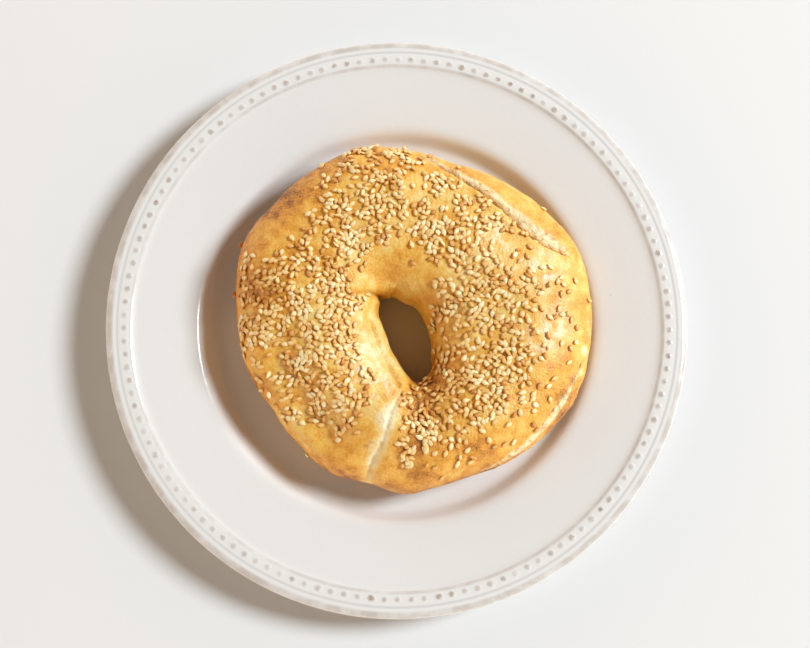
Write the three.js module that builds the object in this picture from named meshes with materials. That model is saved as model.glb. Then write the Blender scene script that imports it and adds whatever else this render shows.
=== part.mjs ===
// A sesame bagel resting on a beaded stoneware plate.
// Millimetres, +Z up. The origin is the centre of the plate's foot, on the surface it stands on.

import * as THREE from "three";
import { mergeVertices } from "three/addons/utils/BufferGeometryUtils.js";

// ---- Plate ----
const PLATE_RADIUS = 108.5;
const PLATE_HEIGHT = 18.5;
const PLATE_SEGMENTS = 96;
const FLOOR_TOP = 8.6; // the well's floor, which the bagel rests on
const FLOOR_THICKNESS = 5.2;
const WELL_RADIUS = 67.5; // edge of the flat floor
const FLANGE_INNER_RADIUS = 75.8; // where the well's wall meets the flange
const FLANGE_INNER_TOP = 15.6;
const FLANGE_OUTER_RADIUS = 95.6;
const FLANGE_OUTER_TOP = 17.6;
const RIDGE_RADIUS = 99.2; // top of the low step inside the beads
const BEAD_RADIUS = 101.4; // middle of the band that the beads stand on
const GROOVE_RADIUS = 104.3;
const LIP_RADIUS = 105.4;
const FOOT_OUTER_RADIUS = 65.8;
const FOOT_INNER_RADIUS = 62.2;

// ---- Bagel ----
const BAGEL_CENTRE = new THREE.Vector2(2.5, -7); // middle of the hole, seen from above
const BAGEL_HEIGHT = 32;
const BAGEL_GIRTH_HEIGHT = 13; // height of its widest level over its base
const BAGEL_BASE_DEPTH = 2.4; // how far the round section is flattened by the tray
const RING_SEGMENTS = 96;
const SECTION_SEGMENTS = 28;
const RESTING_GAP = 0.3;

// Radii from the middle of the hole, one every 15 degrees from +X towards +Y. The bagel was rolled
// by hand as a rope and joined at 257 degrees, so its outline is uneven and its hole is a slanted lens.
const OUTLINE_RADII = [
  69.1, 71.2, 72.9, 71.1, 69.9, 69, 71.3, 73.8, 72.1, 70.6, 69.6, 64.8,
  60.8, 58.1, 55, 55.2, 56.1, 54.6, 56.6, 55.1, 56.2, 59.6, 63.6, 66.5,
];
const HOLE_RADII = [
  9.2, 8.8, 8.9, 9.5, 10.8, 12.1, 13.2, 16.4, 17.6, 14.2, 10.4, 7.7,
  6.6, 6.5, 6.8, 7.1, 7.8, 9.2, 12.6, 16.6, 15.8, 14.2, 11, 10,
];

// ---- Sesame seeds ----
const SEED_COUNT = 48;
const SEED_LENGTH = 2.8;
const SEED_WIDTH = 1.75;
const SEED_THICKNESS = 0.9;
const SEED_TAPER = 0.32; // how much narrower the pointed end is
const SEED_BAND = [0.3, 0.74]; // share of the section's half turn, from the outer side to the hole
const GOLDEN_RATIO = (1 + Math.sqrt(5)) / 2;

const materials = {
  glaze: new THREE.MeshStandardMaterial({ color: 0xece7e0, roughness: 0.18, metalness: 0 }),
  crust: new THREE.MeshStandardMaterial({ color: 0xdba457, roughness: 0.55, metalness: 0 }),
  seed: new THREE.MeshStandardMaterial({ color: 0xe9cf9c, roughness: 0.5, metalness: 0 }),
};

function namedMesh(name, geometry, material) {
  const mesh = new THREE.Mesh(geometry, material);
  mesh.name = name;
  return mesh;
}

// A smooth S-shaped rise between two points of the profile, left out at its own ends.
function easedRise(from, to, steps) {
  const points = [];
  for (let i = 1; i < steps; i += 1) {
    const share = i / steps;
    const eased = share * share * (3 - 2 * share);
    points.push(new THREE.Vector2(
      THREE.MathUtils.lerp(from.x, to.x, share),
      THREE.MathUtils.lerp(from.y, to.y, eased),
    ));
  }
  return points;
}

// The plate is one fired piece, so its profile runs from the axis under the floor, round the foot,
// out below the rim, over the lip and back in across the flange and the well to the axis.
function plateProfile() {
  const point = (radius, height) => new THREE.Vector2(radius, height);
  const underside = FLOOR_TOP - FLOOR_THICKNESS;
  const foot = [
    point(0, underside),
    point(FOOT_INNER_RADIUS - 2.6, underside),
    point(FOOT_INNER_RADIUS - 0.7, underside - 0.9),
    point(FOOT_INNER_RADIUS, 0),
    point(FOOT_OUTER_RADIUS, 0),
    point(FOOT_OUTER_RADIUS + 1, 1.2),
    point(FOOT_OUTER_RADIUS + 2, underside),
  ];
  const rimUnderside = [
    point(FLANGE_INNER_RADIUS - 2.5, FLANGE_INNER_TOP - 6.6),
    point(FLANGE_INNER_RADIUS + 3, FLANGE_INNER_TOP - 4.4),
    point(FLANGE_OUTER_RADIUS, FLANGE_OUTER_TOP - 3.6),
    point(LIP_RADIUS + 1, PLATE_HEIGHT - 4.4),
  ];
  const lip = [
    point(PLATE_RADIUS - 0.5, PLATE_HEIGHT - 3.9),
    point(PLATE_RADIUS, PLATE_HEIGHT - 2.5),
    point(PLATE_RADIUS, PLATE_HEIGHT - 1.5),
    point(PLATE_RADIUS - 0.6, PLATE_HEIGHT - 0.6),
    point(LIP_RADIUS + 1.3, PLATE_HEIGHT - 0.2),
    point(LIP_RADIUS, PLATE_HEIGHT),
    point(GROOVE_RADIUS, PLATE_HEIGHT - 0.3),
  ];
  const beadBand = [
    point(GROOVE_RADIUS - 0.9, PLATE_HEIGHT - 0.1),
    point(BEAD_RADIUS, PLATE_HEIGHT),
    point(RIDGE_RADIUS, PLATE_HEIGHT - 0.15),
  ];
  const flangeOuter = point(FLANGE_OUTER_RADIUS, FLANGE_OUTER_TOP);
  const flangeInner = point(FLANGE_INNER_RADIUS, FLANGE_INNER_TOP);
  const wellEdge = point(WELL_RADIUS, FLOOR_TOP);
  return [
    ...foot,
    ...rimUnderside,
    ...lip,
    ...beadBand,
    ...easedRise(beadBand.at(-1), flangeOuter, 3),
    flangeOuter,
    flangeInner,
    ...easedRise(flangeInner, wellEdge, 6),
    wellEdge,
    point(0, FLOOR_TOP),
  ];
}

function makePlate() {
  const geometry = new THREE.LatheGeometry(plateProfile(), PLATE_SEGMENTS);
  geometry.rotateX(Math.PI / 2); // the lathe turns about Y
  return namedMesh("plate", geometry, materials.glaze);
}

function closedOutline(radii) {
  const points = radii.map((radius, i) => {
    const angle = (i / radii.length) * 2 * Math.PI;
    return new THREE.Vector3(
      BAGEL_CENTRE.x + radius * Math.cos(angle),
      BAGEL_CENTRE.y + radius * Math.sin(angle),
      0,
    );
  });
  return new THREE.CatmullRomCurve3(points, true);
}

const outline = closedOutline(OUTLINE_RADII);
const holeOutline = closedOutline(HOLE_RADII);

// A cosine or sine with its curve squared up below 1 and made more pointed above it.
function shaped(value, power) {
  return Math.sign(value) * Math.abs(value) ** power;
}

// A point of the crust. ringShare goes once round the hole, and sectionShare once round the
// section of the ring: 0 at its outer side, a quarter at its top, a half at the hole's wall.
function crustPoint(ringShare, sectionShare) {
  const outer = outline.getPoint(ringShare);
  const inner = holeOutline.getPoint(ringShare);
  const angle = sectionShare * 2 * Math.PI;
  const across = shaped(Math.cos(angle), 0.86);
  const place = inner.lerp(outer, (1 + across) / 2);
  const sine = Math.sin(angle);
  const rise = BAGEL_HEIGHT - BAGEL_GIRTH_HEIGHT;
  const drop = BAGEL_GIRTH_HEIGHT + BAGEL_BASE_DEPTH;
  const height = sine > 0
    ? BAGEL_GIRTH_HEIGHT + rise * shaped(sine, 0.9)
    : Math.max(0, BAGEL_GIRTH_HEIGHT + drop * shaped(sine, 0.8));
  place.z = FLOOR_TOP + RESTING_GAP + height;
  return place;
}

// Dough baked in one piece: a ring whose every section is a round roll flattened underneath.
function makeBagel() {
  const geometry = new THREE.TorusGeometry(1, 0.5, SECTION_SEGMENTS, RING_SEGMENTS);
  const position = geometry.getAttribute("position");
  let vertex = 0;
  for (let j = 0; j <= SECTION_SEGMENTS; j += 1) {
    for (let i = 0; i <= RING_SEGMENTS; i += 1) {
      const place = crustPoint(
        (i % RING_SEGMENTS) / RING_SEGMENTS,
        (j % SECTION_SEGMENTS) / SECTION_SEGMENTS,
      );
      position.setXYZ(vertex, place.x, place.y, place.z);
      vertex += 1;
    }
  }
  geometry.deleteAttribute("uv");
  geometry.deleteAttribute("normal");
  const merged = mergeVertices(geometry);
  merged.computeVertexNormals();
  return namedMesh("bagel", merged, materials.crust);
}

// A flat drop: one end round, the other pointed.
function seedGeometry() {
  const geometry = new THREE.SphereGeometry(0.5, 6, 4);
  geometry.rotateZ(Math.PI / 2);
  const position = geometry.getAttribute("position");
  for (let i = 0; i < position.count; i += 1) {
    const along = position.getX(i) * 2;
    const width = SEED_WIDTH * (1 - SEED_TAPER * along);
    position.setXYZ(
      i,
      position.getX(i) * SEED_LENGTH,
      position.getY(i) * width,
      position.getZ(i) * SEED_THICKNESS,
    );
  }
  geometry.computeVertexNormals();
  return geometry;
}

// Seeds lie flat on the crust, spread by the golden ratio over its top and turned every way.
function makeSeeds() {
  const seeds = new THREE.Group();
  const [bandStart, bandEnd] = SEED_BAND;
  const step = 1e-3;
  for (let k = 0; k < SEED_COUNT; k += 1) {
    const ringShare = (k / GOLDEN_RATIO) % 1;
    const bandShare = (k * Math.SQRT2) % 1;
    const sectionShare = THREE.MathUtils.lerp(bandStart, bandEnd, bandShare) / 2;
    const place = crustPoint(ringShare, sectionShare);
    const alongRing = crustPoint((ringShare + step) % 1, sectionShare).sub(place);
    const alongSection = crustPoint(ringShare, sectionShare + step).sub(place);
    const normal = alongRing.clone().cross(alongSection).normalize();
    const heading = (k * 2 * Math.PI) / GOLDEN_RATIO;
    const side = normal.clone().cross(alongRing).normalize();
    const ahead = side.clone().cross(normal);
    const long = ahead.multiplyScalar(Math.cos(heading)).addScaledVector(side, Math.sin(heading));
    const wide = normal.clone().cross(long);
    const number = String(k + 1).padStart(2, "0");
    const seed = namedMesh(`sesame_seed_${number}`, seedGeometry(), materials.seed);
    seed.quaternion.setFromRotationMatrix(new THREE.Matrix4().makeBasis(long, wide, normal));
    seed.position.copy(place).addScaledVector(normal, RESTING_GAP + SEED_THICKNESS / 2);
    seeds.add(seed);
  }
  return seeds;
}

const bagelOnPlate = new THREE.Group();
bagelOnPlate.add(makePlate(), makeBagel(), makeSeeds());

export default bagelOnPlate;
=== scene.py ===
"""A sesame bagel on a beaded stoneware plate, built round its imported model.

Lengths are metres unless a name ends in _mm. +Z is up, and the origin is the centre of the
plate's foot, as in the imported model.
"""

from __future__ import annotations

import logging
import math
from dataclasses import dataclass, field
from enum import Enum
from typing import Any

import bpy
import numpy as np
from mathutils import Matrix, Vector, noise
from mathutils.bvhtree import BVHTree

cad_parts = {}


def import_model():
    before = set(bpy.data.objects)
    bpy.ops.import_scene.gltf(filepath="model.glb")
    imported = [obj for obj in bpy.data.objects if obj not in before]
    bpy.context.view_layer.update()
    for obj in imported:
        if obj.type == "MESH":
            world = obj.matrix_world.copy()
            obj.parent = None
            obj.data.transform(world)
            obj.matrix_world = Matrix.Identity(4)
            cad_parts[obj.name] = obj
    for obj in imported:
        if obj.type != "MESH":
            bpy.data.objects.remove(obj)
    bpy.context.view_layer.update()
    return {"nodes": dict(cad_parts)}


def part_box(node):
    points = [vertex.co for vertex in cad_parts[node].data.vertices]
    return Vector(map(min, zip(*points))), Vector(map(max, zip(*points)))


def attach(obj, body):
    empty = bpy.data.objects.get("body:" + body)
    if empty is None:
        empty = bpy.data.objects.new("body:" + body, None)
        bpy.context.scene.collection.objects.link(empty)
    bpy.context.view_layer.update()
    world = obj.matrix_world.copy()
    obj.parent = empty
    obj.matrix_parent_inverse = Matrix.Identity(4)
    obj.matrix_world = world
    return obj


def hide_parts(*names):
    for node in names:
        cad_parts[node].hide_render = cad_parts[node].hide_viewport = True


LOG = logging.getLogger("bagel_on_plate")
MM = 0.001
BODY = "root"
HOLE_CENTRE = Vector((2.5, -7.0)) * MM
RESTING_GAP = 0.3 * MM

Colour = tuple[float, float, float]
Route = tuple[tuple[float, ...], ...]
# Soft spots seen from above: x, y and reach in millimetres, and the amount in the middle.
Spots = tuple[tuple[float, float, float, float], ...]


# ---------------------------------------------------------------- small helpers


def deselect_all() -> None:
    """Leaves nothing selected, so that an operator acts only on what comes next."""
    if bpy.context.object and bpy.context.object.mode != "OBJECT":
        bpy.ops.object.mode_set(mode="OBJECT")
    bpy.ops.object.select_all(action="DESELECT")


def activate(piece: bpy.types.Object) -> None:
    """Makes one piece the only selected object and the active one.

    Args:
        piece: The piece.
    """
    deselect_all()
    piece.select_set(True)
    bpy.context.view_layer.objects.active = piece


def apply_modifiers(piece: bpy.types.Object) -> None:
    """Applies every modifier of a piece in order.

    Args:
        piece: The piece.
    """
    activate(piece)
    for modifier in list(piece.modifiers):
        bpy.ops.object.modifier_apply(modifier=modifier.name)


def deselect_elements() -> None:
    """Leaves no point, edge or face of the active piece selected."""
    bpy.ops.object.mode_set(mode="EDIT")
    bpy.ops.mesh.select_all(action="DESELECT")
    bpy.ops.object.mode_set(mode="OBJECT")


def surface_of(piece: bpy.types.Object) -> BVHTree:
    """The piece's surface, ready to be touched."""
    corners = [v.co.copy() for v in piece.data.vertices]
    return BVHTree.FromPolygons(corners, [tuple(p.vertices) for p in piece.data.polygons])


def mark_points(mesh: bpy.types.Mesh, name: str, values: np.ndarray) -> None:
    """Stores a number at each point of a mesh, for its finish to use."""
    mesh.attributes.new(name, "FLOAT", "POINT").data.foreach_set("value", values)


def smooth_path(points: Route, steps: int) -> np.ndarray:
    """Runs a Catmull-Rom curve through the points of an open route.

    Args:
        points: The places the curve passes through.
        steps: How many stretches lie between two of them.

    Returns:
        One row for each point of the curve, both ends included.
    """
    knots = np.array(points, float)
    padded = np.vstack([2 * knots[0] - knots[1], knots, 2 * knots[-1] - knots[-2]])
    rows = []
    for before, start, end, after in zip(padded, padded[1:], padded[2:], padded[3:]):
        for share in np.arange(steps) / steps:
            rows.append(
                0.5
                * (
                    2 * start
                    + (end - before) * share
                    + (2 * before - 5 * start + 4 * end - after) * share**2
                    + (3 * start - before - 3 * end + after) * share**3
                )
            )
    rows.append(knots[-1])
    return np.array(rows)


def hill(distance: np.ndarray, reach: float) -> np.ndarray:
    """A bell curve: 1 at no distance, and near 0 past twice the reach."""
    return np.exp(-((distance / reach) ** 2))


def eased(value: np.ndarray, low: float, high: float) -> np.ndarray:
    """Rises smoothly from 0 at low to 1 at high."""
    share = np.clip((value - low) / (high - low), 0.0, 1.0)
    return share * share * (3 - 2 * share)


def noise_at(places: np.ndarray, size: float, octaves: int, shift: float = 0.0) -> np.ndarray:
    """Fractal noise at many places.

    Args:
        places: Rows of x, y and z.
        size: How far apart the noise's hills are.
        octaves: How many finer layers are added to it.
        shift: Moves the pattern, so that two uses differ.

    Returns:
        One value for each place, about -1 to 1.
    """
    offset = Vector((shift, shift * 0.7, -shift))
    return np.array(
        [
            noise.fractal(Vector(place) / size + offset, 0.9, 2.1, octaves)
            for place in places.reshape(-1, 3)
        ]
    ).reshape(places.shape[:-1])


# ---------------------------------------------------------------- finishes


class Nodes:
    """A node tree, with short ways to add nodes and wire them."""

    def __init__(self, tree: bpy.types.NodeTree) -> None:
        """Adds to this tree."""
        self.tree = tree

    def feed(self, socket: bpy.types.NodeSocket, value: Any) -> None:
        """Wires a socket into another one, or sets its value.

        Args:
            socket: The input to be fed.
            value: The output to wire in, or a plain value.
        """
        if isinstance(value, bpy.types.NodeSocket):
            self.tree.links.new(value, socket)
        else:
            socket.default_value = value

    def add(self, kind: str, inputs: dict[Any, Any] | None = None, **settings: Any) -> Any:
        """Adds a node.

        Args:
            kind: The node's type, without its ShaderNode prefix.
            inputs: Values or sockets for its inputs, by name or number.
            **settings: The node's own properties.

        Returns:
            The new node.
        """
        node = self.tree.nodes.new("ShaderNode" + kind)
        for key, value in settings.items():
            setattr(node, key, value)
        for key, value in (inputs or {}).items():
            self.feed(node.inputs[key], value)
        return node

    def maths(self, operation: str, *values: Any) -> bpy.types.NodeSocket:
        """The result of one Math node."""
        return self.add("Math", dict(enumerate(values)), operation=operation).outputs[0]

    def plus(self, first: Any, second: Any) -> bpy.types.NodeSocket:
        """The sum of two values."""
        return self.maths("ADD", first, second)

    def minus(self, first: Any, second: Any) -> bpy.types.NodeSocket:
        """The first value less the second."""
        return self.maths("SUBTRACT", first, second)

    def times(self, first: Any, second: Any) -> bpy.types.NodeSocket:
        """The product of two values."""
        return self.maths("MULTIPLY", first, second)

    def scaled(self, value: Any, factor: Any, start: Any) -> bpy.types.NodeSocket:
        """The value times the factor, added to the start."""
        return self.maths("MULTIPLY_ADD", value, factor, start)

    def along(self, way: Any, axis: Vector) -> bpy.types.NodeSocket:
        """How far a direction points along an axis."""
        inputs = {0: way, 1: axis}
        return self.add("VectorMath", inputs, operation="DOT_PRODUCT").outputs["Value"]


class CellMark(Enum):
    """What a pattern of cells shows at each point."""

    MIDDLE = "F1"
    EDGE = "DISTANCE_TO_EDGE"


class Shading(Nodes):
    """One material's node tree, with the patterns that the finishes share."""

    def __init__(self, name: str) -> None:
        """Starts an empty material.

        Args:
            name: The material's name.
        """
        self.material = bpy.data.materials.new(name)
        self.material.use_nodes = True
        super().__init__(self.material.node_tree)
        self.tree.nodes.clear()

    def rise(self, value: Any, low: float, high: float) -> bpy.types.NodeSocket:
        """Goes smoothly from 0 where value is low to 1 where it is high."""
        inputs = {0: value, 1: low, 2: high, 3: 0.0, 4: 1.0}
        return self.add("MapRange", inputs, interpolation_type="SMOOTHSTEP").outputs[0]

    def blend(self, share: Any, first: Any, second: Any) -> bpy.types.NodeSocket:
        """A colour between two others.

        Args:
            share: How far towards the second colour, from 0 to 1.
            first: One colour.
            second: The other colour.

        Returns:
            The mixed colour.
        """
        colours = [(*c, 1.0) if isinstance(c, tuple) else c for c in (first, second)]
        inputs = {0: share, 6: colours[0], 7: colours[1]}
        return self.add("Mix", inputs, data_type="RGBA").outputs[2]

    def cloud(self, size: float, octaves: float = 3.0, vector: Any = None) -> bpy.types.NodeSocket:
        """Noise whose hills lie about size apart on the piece, from 0 to 1."""
        inputs = {"Scale": 1.0 / size, "Detail": octaves, "Vector": vector or self.place()}
        return self.add("TexNoise", inputs).outputs[0]

    def cells(self, size: float, mark: CellMark, vector: Any = None) -> bpy.types.NodeSocket:
        """The distance to the middles or to the edges of cells about size across."""
        inputs = {"Scale": 1.0 / size, "Vector": vector or self.place()}
        return self.add("TexVoronoi", inputs, feature=mark.value).outputs["Distance"]

    def warped(self, size: float, amount: float) -> bpy.types.NodeSocket:
        """The point of the piece, pushed about so that a pattern on it turns uneven.

        Args:
            size: How far apart the pushes vary.
            amount: How far the point moves.

        Returns:
            The moved point.
        """
        inputs = {"Scale": 1.0 / size, "Detail": 2.0, "Vector": self.place()}
        push = self.add("TexNoise", inputs).outputs["Color"]
        middle = {0: push, 1: (0.5, 0.5, 0.5)}
        centred = self.add("VectorMath", middle, operation="SUBTRACT").outputs[0]
        summed = {0: centred, 1: (amount,) * 3, 2: self.place()}
        return self.add("VectorMath", summed, operation="MULTIPLY_ADD").outputs[0]

    def place(self) -> bpy.types.NodeSocket:
        """The point of the piece, in its own coordinates."""
        return self.add("TexCoord").outputs["Object"]

    def painted(self, attribute: str) -> bpy.types.NodeSocket:
        """A number that the mesh holds at each point."""
        return self.add("Attribute", attribute_name=attribute).outputs["Fac"]

    def ramp(self, value: Any, stops: tuple[tuple[float, Colour], ...]) -> bpy.types.NodeSocket:
        """Colours along a scale.

        Args:
            value: Where on the scale, from 0 to 1.
            stops: Each place on the scale with its colour.

        Returns:
            The colour there.
        """
        node = self.add("ValToRGB", {0: value})
        scale = node.color_ramp.elements
        while len(scale) < len(stops):
            scale.new(1.0)
        for element, (place, colour) in zip(scale, stops):
            element.position = place
            element.color = (*colour, 1.0)
        return node.outputs[0]

    def relief(self, height: Any, depth: float) -> bpy.types.NodeSocket:
        """Small relief, depth high where height is 1."""
        inputs = {"Strength": 1.0, "Distance": depth, "Height": height}
        return self.add("Bump", inputs).outputs[0]

    def finish(self, inputs: dict[str, Any]) -> bpy.types.Material:
        """Ends the tree in a Principled shader.

        Args:
            inputs: Values or sockets for the shader, by name.

        Returns:
            The finished material.
        """
        shader = self.add("BsdfPrincipled", inputs)
        output = self.add("OutputMaterial")
        self.tree.links.new(shader.outputs[0], output.inputs[0])
        return self.material


@dataclass(frozen=True)
class Glaze:
    """Glossy white glaze, which thins to brown where it runs off raised edges."""

    ridge_radius: float
    groove_radius: float
    edge_radius: float
    foot_height: float = 0.0006
    flange: Colour = (0.82, 0.812, 0.80)
    rim: Colour = (0.83, 0.825, 0.815)
    broken: Colour = (0.30, 0.19, 0.12)
    cream: Colour = (0.82, 0.80, 0.775)
    # Grey of the groove: pooled glaze, and painted shade in the groove.
    pooled_glaze_and_shade: Colour = (0.50, 0.50, 0.51)
    bare_clay: Colour = (0.58, 0.47, 0.36)
    dark_clay: Colour = (0.44, 0.34, 0.25)
    lip_inset: float = 0.0014
    ridge_line: float = 0.0009
    lip_line: float = 0.0018
    groove_line: float = 0.0007

    def line(self, paint: Shading, radius: Any, middle: float, half_width: float) -> Any:
        """A fine ring of another tone, 1 at its middle radius and 0 beside it."""
        off = paint.maths("ABSOLUTE", paint.minus(radius, middle))
        return paint.minus(1.0, paint.rise(off, half_width * 0.3, half_width))

    def thinned(self, paint: Shading, radius: Any, patchy: Any) -> bpy.types.NodeSocket:
        """Finds where the glaze has run off the ridge, the beads and the lip.

        Args:
            paint: The glaze's node tree.
            radius: The distance from the plate's axis.
            patchy: Breaks the lines up, from 0 to 1.

        Returns:
            How thin the glaze is, from 0 to 1.
        """
        wear = paint.rise(paint.cloud(0.03, 2.0), 0.25, 0.75)
        ridge = paint.times(self.line(paint, radius, self.ridge_radius, self.ridge_line), 0.28)
        lip = self.edge_radius - self.lip_inset
        edge = paint.times(self.line(paint, radius, lip, self.lip_line), 0.42)
        lines = paint.times(paint.plus(ridge, edge), paint.scaled(patchy, 0.65, 0.35))
        bead = paint.times(paint.painted("glaze_break"), 0.95)
        worn = paint.plus(lines, paint.times(bead, paint.scaled(wear, 0.5, 0.5)))
        return paint.maths("MINIMUM", worn, 1.0)

    def material(self) -> bpy.types.Material:
        """Builds the glaze.

        Returns:
            The material.
        """
        paint = Shading("stoneware_glaze")
        axes = paint.add("SeparateXYZ", {0: paint.place()}).outputs
        radius = paint.maths("SQRT", paint.plus(
            paint.maths("POWER", axes[0], 2.0), paint.maths("POWER", axes[1], 2.0)
        ))
        patchy = paint.rise(paint.cloud(0.006), 0.3, 0.66)
        whiter = paint.rise(radius, self.ridge_radius, self.groove_radius)
        body = paint.blend(whiter, self.flange, self.rim)
        drift = paint.rise(paint.cloud(0.05, 2.0), 0.3, 0.7)
        body = paint.blend(paint.times(drift, 0.2), body, self.cream)
        # A grey ring along the groove: pooled glaze and painted shade.
        groove = self.line(paint, radius, self.groove_radius, self.groove_line)
        body = paint.blend(paint.times(groove, 0.35), body, self.pooled_glaze_and_shade)
        body = paint.blend(self.thinned(paint, radius, patchy), body, self.broken)
        pinholes = paint.minus(1.0, paint.rise(paint.cells(0.02, CellMark.MIDDLE), 0.008, 0.016))
        body = paint.blend(paint.times(pinholes, 0.6), body, self.broken)
        glazed = paint.rise(axes[2], self.foot_height * 0.5, self.foot_height)
        bare = paint.minus(1.0, glazed)
        grog = paint.rise(paint.cloud(0.0012, 4.0), 0.35, 0.7)
        body = paint.blend(bare, body, paint.blend(grog, self.bare_clay, self.dark_clay))
        return paint.finish({
            "Base Color": body,
            "Roughness": paint.scaled(bare, 0.6, paint.scaled(patchy, 0.06, 0.13)),
            "Normal": paint.relief(
                paint.plus(paint.cloud(0.004, 2.0), paint.times(grog, bare)), 0.00006
            ),
            "IOR": 1.5,
        })


@dataclass(frozen=True)
class Crust:
    """Baked dough: golden, browner where the oven reached it, with pale crumb in its tears.

    Painted shade darkens the crumb's hollows and the bursts' cracks, and the whitish patches
    are partly painted sheen.
    """

    crumb: Colour = (0.95, 0.77, 0.44)
    # Painted shade in the hollows of the torn crumb.
    crumb_hollow_shade: Colour = (0.74, 0.42, 0.13)
    toasted_crumb: Colour = (0.84, 0.58, 0.24)
    # Whitish colour: dusting on the crust, and painted sheen.
    flour_and_sheen: Colour = (0.965, 0.88, 0.66)
    scale: tuple[tuple[float, Colour], ...] = (
        (0.0, (0.95, 0.83, 0.52)),
        (0.2, (0.92, 0.68, 0.25)),
        (0.42, (0.885, 0.53, 0.11)),
        (0.64, (0.80, 0.38, 0.05)),
        (0.84, (0.59, 0.235, 0.03)),
        (1.0, (0.27, 0.09, 0.018)),
    )

    def material(self) -> bpy.types.Material:
        """Builds the crust.

        Returns:
            The material.
        """
        paint = Shading("baked_crust")
        # The browning attribute also holds the shadow painted in the bursts' cracks.
        browning = paint.painted("browning")
        torn = paint.painted("crumb")
        mottle = paint.minus(paint.rise(paint.cloud(0.012), 0.36, 0.64), 0.5)
        blotch = paint.minus(paint.rise(paint.cloud(0.0042), 0.37, 0.63), 0.5)
        speckle = paint.minus(paint.cloud(0.0009), 0.5)
        uneven = paint.warped(0.0012, 0.0011)
        crackle = paint.rise(paint.cells(0.0012, CellMark.EDGE, uneven), 0.0, 0.2)
        roughened = paint.rise(browning, 0.5, 0.85)
        dark_cracks = paint.times(paint.minus(1.0, crackle), roughened)
        tone = browning
        for pattern, share in (
            (mottle, 0.20), (blotch, 0.20), (speckle, 0.45), (dark_cracks, 0.12)
        ):
            tone = paint.scaled(pattern, share, tone)
        skin = paint.ramp(tone, self.scale)
        # Whitish flecks: dusting, and painted sheen where the crust is glossy.
        flecks = paint.rise(paint.cloud(0.0013, 3.0, paint.warped(0.003, 0.002)), 0.33, 0.6)
        flour_and_sheen_share = paint.times(paint.painted("flour_and_sheen"), paint.scaled(flecks, 0.55, 0.4))
        skin = paint.blend(flour_and_sheen_share, skin, self.flour_and_sheen)
        crinkle = paint.rise(paint.cloud(0.002, 2.5, paint.warped(0.004, 0.004)), 0.3, 0.55)
        # The crumb is painted darker where its crinkles dip, as shade in its hollows.
        inside = paint.blend(crinkle, self.crumb_hollow_shade, self.crumb)
        toasted = paint.rise(paint.cloud(0.005), 0.45, 0.72)
        inside = paint.blend(paint.times(toasted, 0.55), inside, self.toasted_crumb)
        height = paint.scaled(crackle, paint.times(roughened, 0.5), paint.cloud(0.0009, 4.0))
        height = paint.scaled(crinkle, paint.times(torn, 0.5), height)
        height = paint.scaled(paint.cloud(0.0045), 1.5, height)
        sheen = paint.rise(paint.cloud(0.004), 0.35, 0.65)
        return paint.finish({
            "Base Color": paint.blend(torn, skin, inside),
            "Roughness": paint.scaled(speckle, 0.2, paint.scaled(sheen, 0.16, 0.34)),
            "Normal": paint.relief(height, 0.00032),
            "Subsurface Weight": 0.1,
            "Subsurface Radius": (1.0, 0.5, 0.2),
            "Subsurface Scale": 0.0012,
        })


@dataclass(frozen=True)
class SeedHull:
    """The dry hull of a toasted sesame seed, darkened round its rim with painted shade."""

    scale: tuple[tuple[float, Colour], ...] = (
        (0.0, (0.97, 0.86, 0.57)),
        (0.3, (0.94, 0.75, 0.39)),
        (0.65, (0.85, 0.51, 0.15)),
        (1.0, (0.54, 0.21, 0.03)),
    )

    def material(self) -> bpy.types.Material:
        """Builds the hull.

        Returns:
            The material.
        """
        paint = Shading("sesame_hull")
        grain = paint.minus(paint.cloud(0.0007), 0.5)
        # Darker towards the seed's rim: painted shade of its turned edge and of its touch on the
        # crust.
        tone = paint.scaled(paint.painted("rim"), 0.42, paint.painted("toast"))
        tone = paint.scaled(grain, 0.28, tone)
        return paint.finish({
            "Base Color": paint.ramp(tone, self.scale),
            "Roughness": paint.scaled(grain, 0.2, 0.42),
            "Normal": paint.relief(paint.cloud(0.0004, 2.0), 0.00005),
            "Subsurface Weight": 0.1,
            "Subsurface Radius": (1.0, 0.6, 0.3),
            "Subsurface Scale": 0.0006,
        })


@dataclass(frozen=True)
class PaleTable:
    """The matt near-white surface that the plate stands on."""

    colour: Colour = (0.84, 0.84, 0.84)

    def material(self) -> bpy.types.Material:
        """Builds the surface.

        Returns:
            The material.
        """
        paint = Shading("pale_table")
        drift = paint.cloud(0.3, 2.0)
        soft = tuple(channel * 0.985 for channel in self.colour)
        return paint.finish({
            "Base Color": paint.blend(drift, self.colour, soft),
            "Roughness": 0.85,
            "Specular IOR Level": 0.2,
        })


# ---------------------------------------------------------------- plate


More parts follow.
